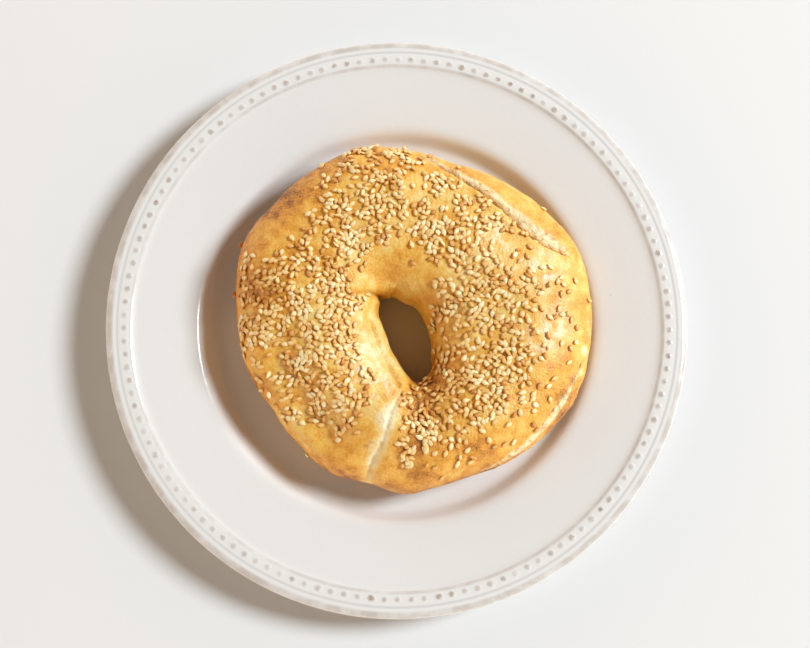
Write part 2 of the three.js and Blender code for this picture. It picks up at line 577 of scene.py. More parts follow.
@dataclass
class Plate:
    """The fired plate: foot ring, well, flange, ridge, beads, groove and lip in one piece."""

    radius: float
    height: float
    floor_top: float
    spokes: int = 520
    bead_count: int = 130
    bead_ring_radius: float = 0.1014
    bead_radius: float = 0.0014
    bead_rise: float = 0.00022
    ridge_radius: float = 0.0990
    groove_radius: float = 0.1042
    band_cuts: int = 3
    band_margin: float = 1.35
    floor_thickness_mm: float = 5.2
    waviness: float = 0.00012
    wave_length: float = 0.045
    seed: int = 7

    def profile(self) -> np.ndarray:
        """Draws the plate's section, from the axis below to the axis above.

        Returns:
            Each point's radius and height.
        """
        top = self.height / MM
        floor = self.floor_top / MM
        edge = self.radius / MM
        under = floor - self.floor_thickness_mm
        below = (
            (0, under), (30, under), (57, under), (59.6, under - 0.1), (61.1, under - 0.8),
            (61.9, under - 2.2), (62.4, 0.25), (63, 0), (65, 0), (65.8, 0.25), (66.6, 1.4),
            (67.8, 3.4), (70.2, 6.1), (73.6, 8.9), (79, 11.4), (86, 12.7), (95.6, 13.8), (102, 14.1),
        )
        lip = (
            (edge - 2.2, top - 4.4), (edge - 0.8, top - 4), (edge - 0.15, top - 3.3),
            (edge, top - 2.5), (edge, top - 1.6), (edge - 0.2, top - 1.02),
            (edge - 0.55, top - 0.67), (edge - 1.1, top - 0.42), (edge - 1.7, top - 0.24),
            (edge - 2.3, top - 0.12), (edge - 3, top - 0.04),
        )
        groove = self.groove_radius / MM
        band = (
            (groove + 0.5, top - 0.02), (groove + 0.05, top - 0.15), (groove - 0.35, top - 0.08),
            (groove - 1, top - 0.03), (102.1, top - 0.01), (101.4, top - 0.01),
            (100.7, top - 0.03), (99.7, top - 0.1),
        )
        flange = (
            (99.35, top - 0.18), (99, top - 0.32), (98.6, top - 0.51), (98.1, top - 0.71),
            (97.5, top - 0.89), (96.7, top - 1.04), (95.6, top - 1.18), (94, top - 1.34),
            (85, top - 2.2), (79.5, top - 2.73), (77.4, top - 2.94),
        )
        well = (
            (76, top - 3.17), (75, top - 3.47), (74, top - 3.98), (73, top - 4.87),
            (72, top - 6.22), (71, floor + 2.23), (70, floor + 1.19), (69, floor + 0.63),
            (68, floor + 0.32), (66.5, floor + 0.1), (65, floor + 0.02), (63, floor),
            (59, floor), (50, floor), (30, floor), (0, floor),
        )
        seen = smooth_path((band[-1],) + flange + well, 2)[1:]
        hidden = np.array(below[:-1], float)
        edge_curve = smooth_path((below[-1],) + lip + (band[0],), 2)[:-1]
        return np.vstack([hidden, edge_curve, np.array(band, float), seen]) * MM

    def spin_body(self) -> bpy.types.Object:
        """Draws the section point by point and spins it once round.

        Returns:
            The closed plate, without its beads.
        """
        deselect_all()
        section = self.profile()
        bpy.ops.mesh.primitive_plane_add(size=MM, location=(0, 0, 0))
        plate = bpy.context.object
        plate.name = "stoneware_plate"
        bpy.ops.object.mode_set(mode="EDIT")
        bpy.ops.mesh.select_all(action="SELECT")
        bpy.ops.mesh.merge(type="CENTER")
        bpy.ops.transform.translate(value=(section[0][0], 0, section[0][1]))
        for here, there in zip(section, section[1:]):
            step = (there[0] - here[0], 0, there[1] - here[1])
            bpy.ops.mesh.extrude_region_move(TRANSFORM_OT_translate={"value": step})
        bpy.ops.mesh.select_all(action="SELECT")
        bpy.ops.mesh.spin(
            steps=self.spokes, angle=2 * math.pi, center=(0, 0, 0), axis=(0, 0, 1)
        )
        bpy.ops.mesh.select_all(action="SELECT")
        bpy.ops.mesh.remove_doubles(threshold=2e-6)
        bpy.ops.mesh.normals_make_consistent(inside=False)
        bpy.ops.object.mode_set(mode="OBJECT")
        return plate

    def refine_bead_band(self, plate: bpy.types.Object) -> None:
        """Divides the faces of the band that the beads stand on, so that each bead is round.

        Args:
            plate: The plate.
        """
        half_band = self.bead_radius * self.band_margin
        inner = self.bead_ring_radius - half_band
        outer = self.bead_ring_radius + half_band
        activate(plate)
        deselect_elements()
        for face in plate.data.polygons:
            radius = math.hypot(face.center.x, face.center.y)
            face.select = inner < radius < outer and face.normal.z > 0.5
        bpy.ops.object.mode_set(mode="EDIT")
        bpy.ops.mesh.subdivide(number_cuts=self.band_cuts)
        bpy.ops.object.mode_set(mode="OBJECT")

    def raise_beads(self, plate: bpy.types.Object) -> None:
        """Lifts a row of uneven beads, and marks where the glaze thins on their tops.

        Args:
            plate: The plate.
        """
        mesh = plate.data
        places = np.empty(len(mesh.vertices) * 3)
        mesh.vertices.foreach_get("co", places)
        places = places.reshape(-1, 3)
        chance = np.random.default_rng(self.seed)
        size = chance.uniform(0.86, 1.1, self.bead_count)
        drift = chance.normal(0, 0.09 * MM, (self.bead_count, 2))
        thin = np.clip(chance.normal(0.66, 0.16, self.bead_count), 0.25, 1.0)
        radius = np.hypot(places[:, 0], places[:, 1])
        turn = np.arctan2(places[:, 1], places[:, 0]) / (2 * math.pi) % 1.0
        number = np.floor(turn * self.bead_count).astype(int) % self.bead_count
        middle = (number + 0.5) / self.bead_count
        along = (turn - middle) * 2 * math.pi * self.bead_ring_radius - drift[number, 0]
        across = radius - self.bead_ring_radius - drift[number, 1]
        off = np.hypot(along * 0.94, across) / (self.bead_radius * size[number])
        on_top = (places[:, 2] > self.height - 3 * MM) & (off < 1)
        dome = np.where(on_top, np.cos(np.minimum(off, 1) * math.pi / 2), 0.0)
        places[:, 2] += dome * self.bead_rise * size[number]
        rough = noise_at(places, 0.0007, 2, 3.1) * 0.35
        spot = eased(dome + rough * (dome > 0), 0.05, 1.0) * thin[number]
        mesh.vertices.foreach_set("co", places.reshape(-1))
        mark_points(mesh, "glaze_break", np.where(on_top, spot, 0.0))

    def settle(self, plate: bpy.types.Object) -> None:
        """Gives the flange and the well the slight waves of a hand-finished plate.

        Args:
            plate: The plate.
        """
        for vertex in plate.data.vertices:
            radius = math.hypot(vertex.co.x, vertex.co.y)
            if vertex.co.z > self.floor_top - 1 * MM and radius < self.ridge_radius:
                spot = Vector((vertex.co.x, vertex.co.y, 0)) / self.wave_length
                vertex.co.z += noise.noise(spot) * self.waviness

    def build(self) -> bpy.types.Object:
        """Models and glazes the plate.

        Returns:
            The plate.
        """
        plate = self.spin_body()
        self.settle(plate)
        self.refine_bead_band(plate)
        self.raise_beads(plate)
        plate.data.shade_smooth()
        glaze = Glaze(self.ridge_radius, self.groove_radius, self.radius)
        plate.data.materials.append(glaze.material())
        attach(plate, BODY)
        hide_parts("plate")
        return plate


# ---------------------------------------------------------------- bagel


def patched(plan: np.ndarray, spots: Spots) -> np.ndarray:
    """Adds up soft spots at many places.

    Args:
        plan: x and y of each place, in millimetres.
        spots: The spots to add up.

    Returns:
        One value for each place.
    """
    total = np.zeros(plan.shape[:-1])
    for x, y, reach, amount in spots:
        off = np.hypot(plan[..., 0] - x, plan[..., 1] - y)
        total += amount * hill(off, reach)
    return total


@dataclass
class CrustGrid:
    """The bagel's surface as rings of points: first round the hole, then round the section."""

    places: np.ndarray
    ring_angle: np.ndarray
    section_angle: np.ndarray
    base_height: float
    crumb: np.ndarray = field(default_factory=lambda: np.zeros(1))

    def normals(self) -> np.ndarray:
        """Finds which way the crust faces.

        Returns:
            The outward direction at each point.
        """
        round_hole = np.roll(self.places, -1, 0) - np.roll(self.places, 1, 0)
        round_section = np.roll(self.places, -1, 1) - np.roll(self.places, 1, 1)
        across = np.cross(round_hole, round_section)
        return across / np.linalg.norm(across, axis=2, keepdims=True)

    def plan_mm(self) -> np.ndarray:
        """x and y of each point, in millimetres."""
        return self.places[..., :2] / MM

    def lift_mm(self) -> np.ndarray:
        """Each point's height over the bagel's base, in millimetres."""
        return (self.places[..., 2] - self.base_height) / MM

    def push(self, amount_mm: np.ndarray) -> None:
        """Moves every point outwards by its amount, in millimetres."""
        self.places = self.places + self.normals() * (amount_mm * MM)[..., None]


@dataclass(frozen=True)
class Fold:
    """A crease pressed into the dough along a route, with the dough swollen beside it."""

    route: Route
    depth_mm: float
    width_mm: float
    left_swell_mm: float = 0.0
    right_swell_mm: float = 0.0
    swell_reach_mm: float = 4.0
    lowest_mm: float = 8.0

    def across(self, plan: np.ndarray) -> tuple[np.ndarray, np.ndarray, np.ndarray]:
        """Measures places against the route.

        Args:
            plan: x and y of each place, in millimetres.

        Returns:
            The distance from the route, the side as -1 or 1, and the share of the way along.
        """
        curve = smooth_path(self.route, 4)
        best = np.full(plan.shape[:-1], np.inf)
        side = np.ones(plan.shape[:-1])
        along = np.zeros(plan.shape[:-1])
        for number, (start, end) in enumerate(zip(curve, curve[1:])):
            run = end - start
            share = np.clip(((plan - start) @ run) / (run @ run), 0, 1)
            gap = plan - (start + share[..., None] * run)
            distance = np.linalg.norm(gap, axis=-1)
            nearer = distance < best
            best = np.where(nearer, distance, best)
            turned = np.sign(run[0] * gap[..., 1] - run[1] * gap[..., 0])
            side = np.where(nearer, turned, side)
            along = np.where(nearer, (number + share) / (len(curve) - 1), along)
        return best, side, along

    def relief_mm(self, grid: CrustGrid) -> np.ndarray:
        """Works out the fold's relief.

        Args:
            grid: The crust.

        Returns:
            How far the fold moves each point outwards, in millimetres.
        """
        distance, side, along = self.across(grid.plan_mm())
        ends = eased(along, 0.0, 0.12) * (1 - eased(along, 0.9, 1.0)) * 0.7 + 0.3
        crease = -self.depth_mm * hill(distance, self.width_mm) * ends
        middle = self.width_mm + self.swell_reach_mm
        swell = hill(distance - middle, self.swell_reach_mm)
        swell = swell * np.where(side > 0, self.left_swell_mm, self.right_swell_mm)
        fade = eased(along, 0.0, 0.2) * (1 - eased(along, 0.85, 1.0))
        above = eased(grid.lift_mm(), self.lowest_mm, self.lowest_mm + 5)
        return (crease + swell * fade) * above


@dataclass(frozen=True)
class Burst:
    """A tear in the side of the crust: a torn upper edge, rough crumb, and a lower lip.

    Each place of the route is the angle round the hole, then the section angles of the tear's
    upper and lower edges, in degrees.
    """

    route: Route
    depth_mm: float
    lip_mm: float
    mm_per_degree: float = 0.42
    ragged_mm: float = 0.66
    crack_inset_mm: float = 0.9
    crack_width_mm: float = 0.55

    def bounds(self, grid: CrustGrid) -> tuple[np.ndarray, np.ndarray, np.ndarray]:
        """Finds the tear's edges on each spoke.

        Args:
            grid: The crust.

        Returns:
            The section angles of its upper and lower edges, and how open it is, from 0 to 1.
        """
        curve = smooth_path(self.route, 6)
        curve = curve[np.argsort(curve[:, 0])]
        turn = grid.ring_angle
        start, end = curve[0, 0], curve[-1, 0]
        turn = np.where(turn < start - 90, turn + 360, turn)
        upper = np.interp(turn, curve[:, 0], curve[:, 1])
        lower = np.interp(turn, curve[:, 0], curve[:, 2])
        opening = eased(turn, start, start + 7) * (1 - eased(turn, end - 7, end))
        return upper[:, None], lower[:, None], opening[:, None]

    def shape(self, grid: CrustGrid) -> tuple[np.ndarray, np.ndarray, np.ndarray]:
        """The tear's relief, how it is baked, and the shadow painted in its crack.

        Args:
            grid: The crust.

        Returns:
            How far each point moves outwards in millimetres, its share of bare crumb, and how
            much browner it is: baking round the lower lip, and painted shadow in the crack.
        """
        upper, lower, opening = self.bounds(grid)
        ragged = noise_at(grid.places, 0.0035, 3, 5.0) * self.ragged_mm
        turned = (grid.section_angle[None, :] + 180) % 360 - 180
        below_edge = (upper - turned) * self.mm_per_degree + ragged
        above_lip = (turned - lower) * self.mm_per_degree + ragged
        inside = eased(below_edge, -0.1, 0.4) * eased(above_lip, -0.5, 0.6)
        # The crack just under the torn edge: a notch, which is also painted dark as its shadow.
        crack = hill(below_edge - self.crack_inset_mm, self.crack_width_mm)
        crack = crack * eased(above_lip, 0.1, 0.9)
        width = np.maximum((upper - lower) * self.mm_per_degree, 0.1)
        share = np.clip(below_edge / width, 0, 1)
        floor = -self.depth_mm * (1 - share) ** 1.5
        crinkles = 0.9 * np.abs(noise_at(grid.places, 0.0024, 3, 9.0)) - 0.2
        edge_roll = 0.45 * hill(below_edge + 1.1, 1.1) * (below_edge < 0.4)
        lip_zone = hill(above_lip + self.lip_mm / 2, self.lip_mm / 2) * (above_lip < 1)
        relief = inside * (floor + crinkles) - crack
        relief += (edge_roll + 0.45 * lip_zone) * (1 - inside)
        # Painted shadow in the crack, and real browning round the lower lip.
        baked = 0.95 * crack + 0.08 * lip_zone * (1 - inside) + 0.12 * hill(above_lip, 0.5)
        return relief * opening, inside * (1 - crack) * opening, baked * opening


@dataclass
class Bagel:
    """The baked ring of dough with its seam, folds and side bursts.

    Angles round its section go from its outer side over its top to the hole, in degrees.
    """

    hole_centre: Vector
    girth_mm: float = 13.0
    section_rise: float = 0.019
    beyond_crust: float = 0.12
    outer_side_top: float = 30.0
    hole_side: tuple[float, float] = (135.0, 215.0)
    ring_points: int = 440
    section_points: int = 218
    under_points: int = 30
    under_angle: float = 82.0
    seam: Fold = Fold(
        route=(
            (3.5, -26.8), (0.2, -29.3), (-2.1, -33.2), (-3.9, -37.9), (-5, -42.5),
            (-7, -47.5), (-9.3, -51.5), (-10.7, -55.4), (-11.5, -59.3),
        ),
        depth_mm=0.65, width_mm=0.8, left_swell_mm=0.5, right_swell_mm=0.25, swell_reach_mm=3.2,
    )
    roll: Fold = Fold(
        route=((-10.9, 0.9), (-10, -2.2), (-8.3, -7.5), (-6.2, -12.3), (-3.7, -17.7),
               (-1, -23), (0.8, -26.7)),
        depth_mm=1.7, width_mm=0.65, left_swell_mm=0.9, swell_reach_mm=1.6, lowest_mm=4.0,
    )
    overlap: Fold = Fold(
        route=((-17.5, 6), (-15.9, 6.6), (-12.4, 7.8), (-8.7, 8), (-5.2, 7.9), (-3.5, 7.1)),
        depth_mm=1.9, width_mm=0.9, left_swell_mm=0.9, swell_reach_mm=2.4, lowest_mm=4.0,
    )
    bursts: tuple[Burst, ...] = (
        Burst(
            route=((24, 38, 36), (28, 47, 38), (32, 55, 42), (38, 59, 46), (46, 59, 48),
                   (54, 57, 47), (61, 54, 45), (68, 50, 42), (76, 44, 37), (82, 37, 31),
                   (88, 27, 23)),
            depth_mm=1.7, lip_mm=7.0,
        ),
        Burst(
            route=((297, 11, 4), (302, 19, 8), (310, 28, 16), (319, 34, 21), (328, 37, 25),
                   (336, 38, 28), (343, 36, 29), (349, 32, 28), (354, 29, 27)),
            depth_mm=1.3, lip_mm=5.0,
        ),
    )
    swellings: Spots = (
        (-27, -42, 9, -2.0), (12.5, -36.5, 9, -0.8), (-32.5, -4.5, 13, -0.2),
        (20.5, -12, 14, 0.9), (29, 24, 14, 0.6), (-21.5, 34, 12, -0.7),
        (2.5, 47, 12, 0.7), (-5, -37.5, 3.2, 1.1), (-40, 28, 9, 0.1),
        (50.5, -14.5, 12, 0.8), (2.5, -53, 8, 0.4), (-19, -53.5, 7, 0.4),
    )
    flattened: Spots = (
        (-43, -2, 9, 0.1), (-43, -18, 9, 0.24), (-35, -34, 9, 0.34),
        (-24, -44, 8, 0.2), (-12, -52, 8, 0.2), (2, -57, 8, 0.3),
    )
    browned: Spots = (
        (-46.5, 47, 22, 0.30), (-59.5, 17.5, 14, 0.20), (-29.5, 59.5, 12, 0.25),
        (0.5, -59.5, 14, 0.24), (-24, -57, 12, 0.16), (26.5, -51.5, 14, 0.2),
        (58.5, -27.5, 13, 0.24), (69, 7, 9, 0.06), (12.5, -21.5, 8, 0.22),
        (15.5, -11.5, 6, 0.16), (57.5, 31.5, 10, 0.04), (-50.5, -25, 12, 0.12),
        (-49.5, 6, 8, 0.14), (7.5, -30.5, 8, 0.24), (11, -38, 8, 0.14),
        (62, 0, 9, 0.16), (0.5, 22, 8, 0.08), (1, 52, 9, 0.14),
        (10, 22, 9, 0.12), (-7, 6, 4, 0.12), (5, -45, 7, 0.16),
    )
    pale: Spots = (
        (-8.5, -13, 6, 0.2), (-12.5, 0, 7, 0.08), (-3.5, 12.5, 11, 0.04),
        (43, 3.5, 14, 0.14), (35, 22, 12, 0.14), (-4.5, -37.5, 4, 0.38),
        (-8, -47.5, 3.2, 0.22), (-31, -38, 8, 0.12), (-2, -20, 4, 0.12),
        (-6, -8, 5, 0.1),
        (-25.5, -0.5, 16, 0.10), (67.4, -11.7, 1.4, 0.6), (65.5, -19.8, 1.2, 0.6),
    )
    # Whitish spots: dusting and pale skin by the roll and the seam, and painted sheen on the crust's
    # right side.
    flour_and_sheen_spots: Spots = (
        (34.5, 27, 5.5, 1.0), (51, 15.5, 6, 1.0), (56, -3.5, 5, 0.9),
        (50, -9, 5, 0.9), (-13.5, -14, 6, 1.0), (-9, -24, 6, 1.0),
        (-4.5, -37.5, 3, 0.9), (24, 14, 5, 0.4),
    )

    def cast_copy(self, node: bpy.types.Object) -> BVHTree:
        """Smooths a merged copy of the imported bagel, to be touched by rays.

        Args:
            node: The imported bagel, which is left alone.

        Returns:
            The copy's surface.
        """
        copy = bpy.data.objects.new("bagel_form", node.data.copy())
        bpy.context.collection.objects.link(copy)
        activate(copy)
        bpy.ops.object.mode_set(mode="EDIT")
        bpy.ops.mesh.select_all(action="SELECT")
        bpy.ops.mesh.remove_doubles(threshold=1e-6)
        bpy.ops.mesh.tris_convert_to_quads()
        bpy.ops.object.mode_set(mode="OBJECT")
        smooth = copy.modifiers.new("smooth", "SUBSURF")
        smooth.levels = smooth.render_levels = 2
        apply_modifiers(copy)
        surface = surface_of(copy)
        bpy.data.objects.remove(copy)
        return surface

    def section_angles(self) -> np.ndarray:
        """Spaces the crust's points round the section.

        Returns:
            Their angles: closest together where the crust is torn, and few underneath.
        """
        seen = self.section_points - self.under_points
        span = 360 - self.under_angle
        start = self.under_angle / 2 - 90
        fine = np.linspace(start, start + span, 1000)
        crowding = 1 + 0.55 * eased(fine, 2, 14) * (1 - eased(fine, 58, 70))
        share = np.cumsum(crowding) - crowding[0]
        over = np.interp(np.arange(seen) / seen, share / share[-1], fine)
        under = start + span + self.under_angle * np.arange(self.under_points) / self.under_points
        return np.concatenate([over, under])

    def lay_grid(self, surface: BVHTree, low: Vector) -> CrustGrid:
        """Finds the crust along spokes round the hole and rays round each section.

        Args:
            surface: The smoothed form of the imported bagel.
            low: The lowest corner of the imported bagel's box.

        Returns:
            The crust's points.
        """
        girth = low.z + self.girth_mm * MM
        turns = np.arange(self.ring_points) * 360 / self.ring_points
        angles = self.section_angles()
        places = np.empty((len(turns), len(angles), 3))
        for i, turn in enumerate(np.radians(turns)):
            spoke = Vector((math.cos(turn), math.sin(turn), 0))
            origin = Vector((self.hole_centre.x, self.hole_centre.y, girth))
            inner = surface.ray_cast(origin, spoke)[0]
            outer = surface.ray_cast(origin + spoke * self.beyond_crust, -spoke)[0]
            middle = (inner + outer) / 2
            half = (outer - inner).length / 2
            for j, angle in enumerate(np.radians(angles)):
                way = spoke * math.cos(angle) * half
                way.z = math.sin(angle) * self.section_rise
                places[i, j] = surface.ray_cast(middle, way.normalized())[0]
        return CrustGrid(places, turns, angles, low.z)

    def swell(self, grid: CrustGrid) -> None:
        """Gives the dough the uneven swelling of a hand-rolled rope, leaving its base flat.

        Args:
            grid: The crust.
        """
        over_girth = np.maximum(grid.lift_mm() - self.girth_mm, 0.0)
        sunken = np.minimum(patched(grid.plan_mm(), self.flattened), 0.5)
        grid.places[..., 2] -= over_girth * sunken * MM
        upper = eased(grid.lift_mm(), 5.0, 14.0)
        swelling = patched(grid.plan_mm(), self.swellings)
        swelling += noise_at(grid.places, 0.022, 2, 1.0) * 0.8
        swelling += noise_at(grid.places, 0.0075, 3, 2.0) * 0.22
        grid.push(swelling * upper)

    def crumple(self, grid: CrustGrid, crumb: np.ndarray, brown: np.ndarray) -> None:
        """Adds the fine wrinkles of the crust.

        Args:
            grid: The crust.
            crumb: Where torn crumb shows, which has no wrinkles.
            brown: How brown each point is, with the shadow painted in the bursts' cracks: the
            browner, the deeper the wrinkles.
        """
        upper = eased(grid.lift_mm(), 1.5, 6.0)
        wrinkle = noise_at(grid.places, 0.0032, 3, 4.0) * (0.08 + 0.1 * brown)
        grid.push(wrinkle * upper * (1 - crumb))

    def stretched(self, grid: CrustGrid) -> np.ndarray:
        """Finds where the dough was pulled thin along the join, and pale bubbly skin shows.

        Args:
            grid: The crust.

        Returns:
            How much of it shows at each point, from 0 to 1.
        """
        plan = grid.plan_mm()
        distance, _, along = self.seam.across(plan)
        join = hill(distance, 2.0) * eased(along, 0.15, 0.35) * (1 - eased(along, 0.8, 0.95))
        distance, side, along = self.roll.across(plan)
        band = hill(distance - 3, 2.0) * (side < 0) * eased(along, 0.2, 0.4)
        patchy = eased(noise_at(grid.places, 0.003, 2, 11.0), -0.35, 0.25)
        upper = eased(grid.lift_mm(), 12, 18)
        return np.clip(join * 0.6 + band * 0.75, 0, 0.9) * patchy * upper

    def flour_and_sheen_share(self, grid: CrustGrid) -> np.ndarray:
        """Finds where flour and blisters leave the crust whitish, and where sheen is painted.

        Args:
            grid: The crust.

        Returns:
            How whitish each point is, from 0 to 1.
        """
        plan = grid.plan_mm()
        distance, _, along = self.seam.across(plan)
        join = hill(distance, 1.8) * eased(along, 0.1, 0.3)
        share = np.clip(patched(plan, self.flour_and_sheen_spots) + 0.7 * join, 0, 1)
        flecks = eased(noise_at(grid.places, 0.0034, 3, 13.0), -0.25, 0.25)
        return share * flecks * eased(grid.lift_mm(), 10, 16)

    def browning(self, grid: CrustGrid) -> np.ndarray:
        """Works out how the dough is baked before it bursts.

        Args:
            grid: The crust.

        Returns:
            How brown each point is, from 0 to 1.
        """
        plan = grid.plan_mm()
        angle = (grid.section_angle[None, :] + 180) % 360 - 180
        base = np.full(grid.places.shape[:2], 0.45)
        base += patched(plan, self.browned) - patched(plan, self.pale)
        hole_low, hole_high = self.hole_side
        in_hole = eased(angle % 360, hole_low - 25, hole_low + 15)
        in_hole = in_hole * (1 - eased(angle % 360, hole_high, hole_high + 30))
        base += 0.04 * in_hole
        base += 0.12 * (1 - eased(angle, 0, self.outer_side_top)) * (angle > -90)
        base += 0.30 * (1 - eased(grid.lift_mm(), 0.2, 4.0))
        distance, _, along = self.seam.across(plan)
        pulled = hill(distance, 2.4) * eased(grid.lift_mm(), 8, 14)
        base -= 0.30 * pulled * eased(along, 0.1, 0.3)
        base += noise_at(grid.places, 0.03, 2, 6.0) * 0.05
        return np.clip(base, 0.02, 0.95)

    def mesh_of(
        self, grid: CrustGrid, crumb: np.ndarray, brown: np.ndarray, flour_and_sheen: np.ndarray
    ) -> bpy.types.Object:
        """Shapes a torus into the crust and stores its baking, painted shadow and sheen.

        Args:
            grid: The crust's points.
            crumb: Where torn crumb shows.
            brown: How brown each point is, with the shadow painted in the bursts' cracks.
            flour_and_sheen: How whitish each point is, with painted sheen in it.

        Returns:
            The bagel.
        """
        deselect_all()
        bpy.ops.mesh.primitive_torus_add(
            major_segments=self.ring_points // 2, minor_segments=self.section_points // 2,
            major_radius=2.0, minor_radius=1.0,
        )
        bagel = bpy.context.object
        bagel.name = "sesame_bagel"
        bpy.ops.object.mode_set(mode="EDIT")
        bpy.ops.mesh.select_all(action="SELECT")
        bpy.ops.mesh.subdivide(number_cuts=1)
        bpy.ops.object.mode_set(mode="OBJECT")
        mesh = bagel.data
        ring = np.array([v.co[:] for v in mesh.vertices])
        spoke = np.arctan2(ring[:, 1], ring[:, 0]) / (2 * math.pi) * self.ring_points
        reach = np.hypot(ring[:, 0], ring[:, 1]) - 2.0
        turn = np.arctan2(ring[:, 2], reach) / (2 * math.pi) * self.section_points
        i = np.round(spoke).astype(int) % self.ring_points
        j = np.round(turn).astype(int) % self.section_points
        mesh.vertices.foreach_set("co", grid.places[i, j].reshape(-1))
        # The browning attribute also holds the shadow painted in the cracks, and the whitish one
        # holds painted sheen.
        for name, values in (("browning", brown), ("crumb", crumb), ("flour_and_sheen", flour_and_sheen)):
            mark_points(mesh, name, values[i, j])
        mesh.shade_smooth()
        mesh.update()
        return bagel

    def build(self, node: bpy.types.Object) -> tuple[bpy.types.Object, CrustGrid]:
        """Models and bakes the bagel.

        Args:
            node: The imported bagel.

        Returns:
            The bagel, and its crust for the seeds to lie on.
        """
        low = Vector(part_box("bagel")[0])
        grid = self.lay_grid(self.cast_copy(node), low)
        self.swell(grid)
        for fold in (self.seam, self.roll, self.overlap):
            grid.push(fold.relief_mm(grid))
        crumb = self.stretched(grid)
        grid.push(noise_at(grid.places, 0.0022, 3, 12.0) * 0.4 * crumb)
        brown = self.browning(grid)
        # Each burst adds its baking and the shadow painted in its crack to the browning.
        for burst in self.bursts:
            relief, bare, baked = burst.shape(grid)
            grid.push(relief)
            crumb = np.maximum(crumb, bare)
            brown = np.clip(brown + baked, 0, 1)
        self.crumple(grid, crumb, brown)
        bagel = self.mesh_of(grid, crumb, brown, self.flour_and_sheen_share(grid))
        bagel.data.materials.append(Crust().material())
        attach(bagel, BODY)
        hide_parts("bagel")
        grid.crumb = crumb
        return bagel, grid


# ---------------------------------------------------------------- sesame seeds


